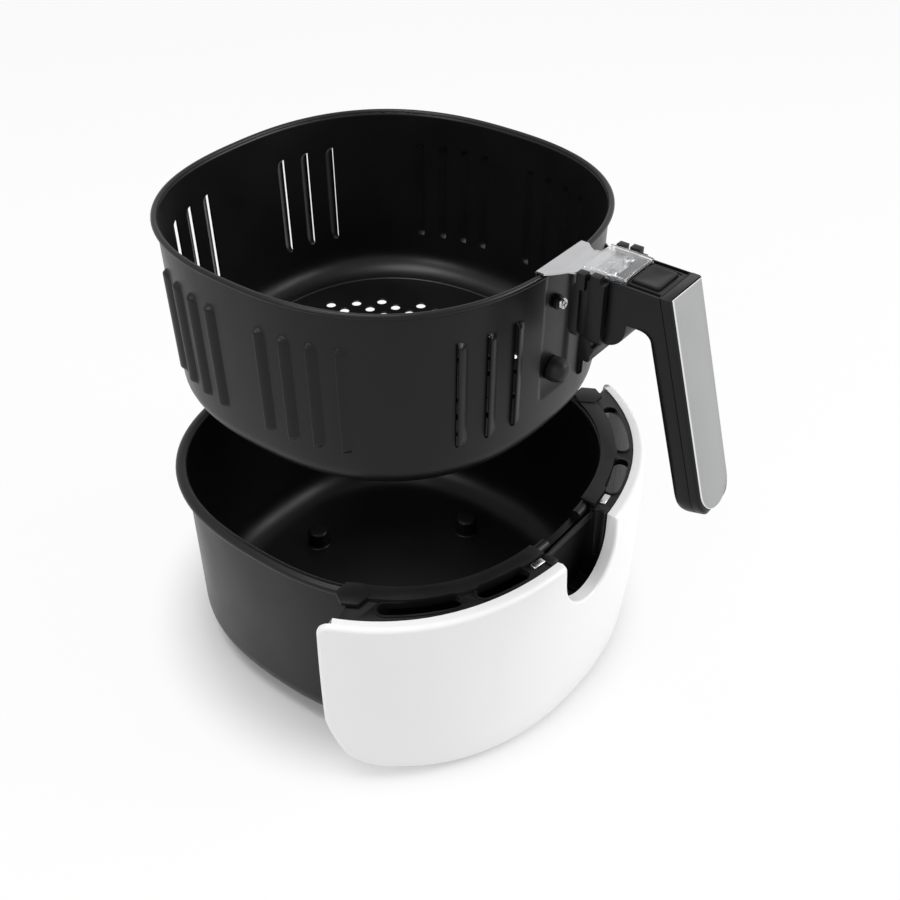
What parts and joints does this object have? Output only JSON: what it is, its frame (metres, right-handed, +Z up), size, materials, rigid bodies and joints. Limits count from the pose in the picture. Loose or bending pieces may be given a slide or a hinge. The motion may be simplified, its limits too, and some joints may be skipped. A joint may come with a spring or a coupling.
{
  "type": "air fryer drawer",
  "caption": "Black air fryer pan with a white curved front cover, and its slotted basket with a hanging handle lifted above it.",
  "frame": {"origin": "middle of the underside of the pan, on the surface that it stands on", "axes": "+Z up, the cover and the handle face -Y, +X to the right seen from the front"},
  "size_m": [0.2518, 0.2986, 0.2657],
  "materials": {
    "coated_steel": "satin black non-stick coating",
    "frame_plastic": "matte black moulding",
    "handle_plastic": "fine-grained black moulding",
    "cover_plastic": "soft gloss white",
    "bright_steel": "plain bright steel",
    "plate_silver": "satin silver",
    "bumper_rubber": "matte black rubber",
    "guard_clear": "clear polycarbonate"
  },
  "bodies": {
    "drawer": {"pan_shell": "coated_steel", "pan_studs": "coated_steel", "pan_brackets": "bright_steel", "front_frame": "frame_plastic", "rim_clips": "bright_steel", "handle_socket": "frame_plastic", "bracket_screws": "bright_steel", "front_cover": "cover_plastic", "cover_screws": "bright_steel"},
    "basket": {"basket_shell": "coated_steel", "rim_strap": "bright_steel", "wall_screw": "bright_steel", "wall_spacer": "bumper_rubber", "wall_bumper": "bumper_rubber", "handle_block": "handle_plastic", "handle_body": "handle_plastic", "handle_outer_shell": "handle_plastic", "button_bezel": "handle_plastic", "grip_plate": "plate_silver", "strap_screws": "bright_steel", "block_screws": "bright_steel", "grip_screws": "bright_steel", "latch_pin": "bright_steel"},
    "guard": {"sliding_guard": "guard_clear"},
    "button": {"release_button": "handle_plastic", "button_spring": "bright_steel"},
    "latch": {"latch_lever": "handle_plastic", "latch_spring": "bright_steel"}
  },
  "joints": [
    {"name": "basket_lift", "type": "slide", "parent": "drawer", "child": "basket", "axis": [0, 0, 1], "range_m": [-0.15, 0]},
    {"name": "guard_slide", "type": "slide", "parent": "basket", "child": "guard", "axis": [0, -1, 0], "range_m": [0, 0.0155]},
    {"name": "button_press", "type": "slide", "parent": "basket", "child": "button", "axis": [0, 0, -1], "range_m": [0, 0.003], "stiffness_N_per_m": 400, "springref_m": -0.001, "deforming": ["button_spring"]},
    {"name": "latch_swing", "type": "hinge", "parent": "basket", "child": "latch", "pos_m": [0, -0.121, 0.2448], "axis": [1, 0, 0], "range_deg": [0, 9.6]}
  ],
  "couplings": [
    {"joint": "latch_swing", "follows": "button_press", "rad_per_m": 55.5}
  ]
}
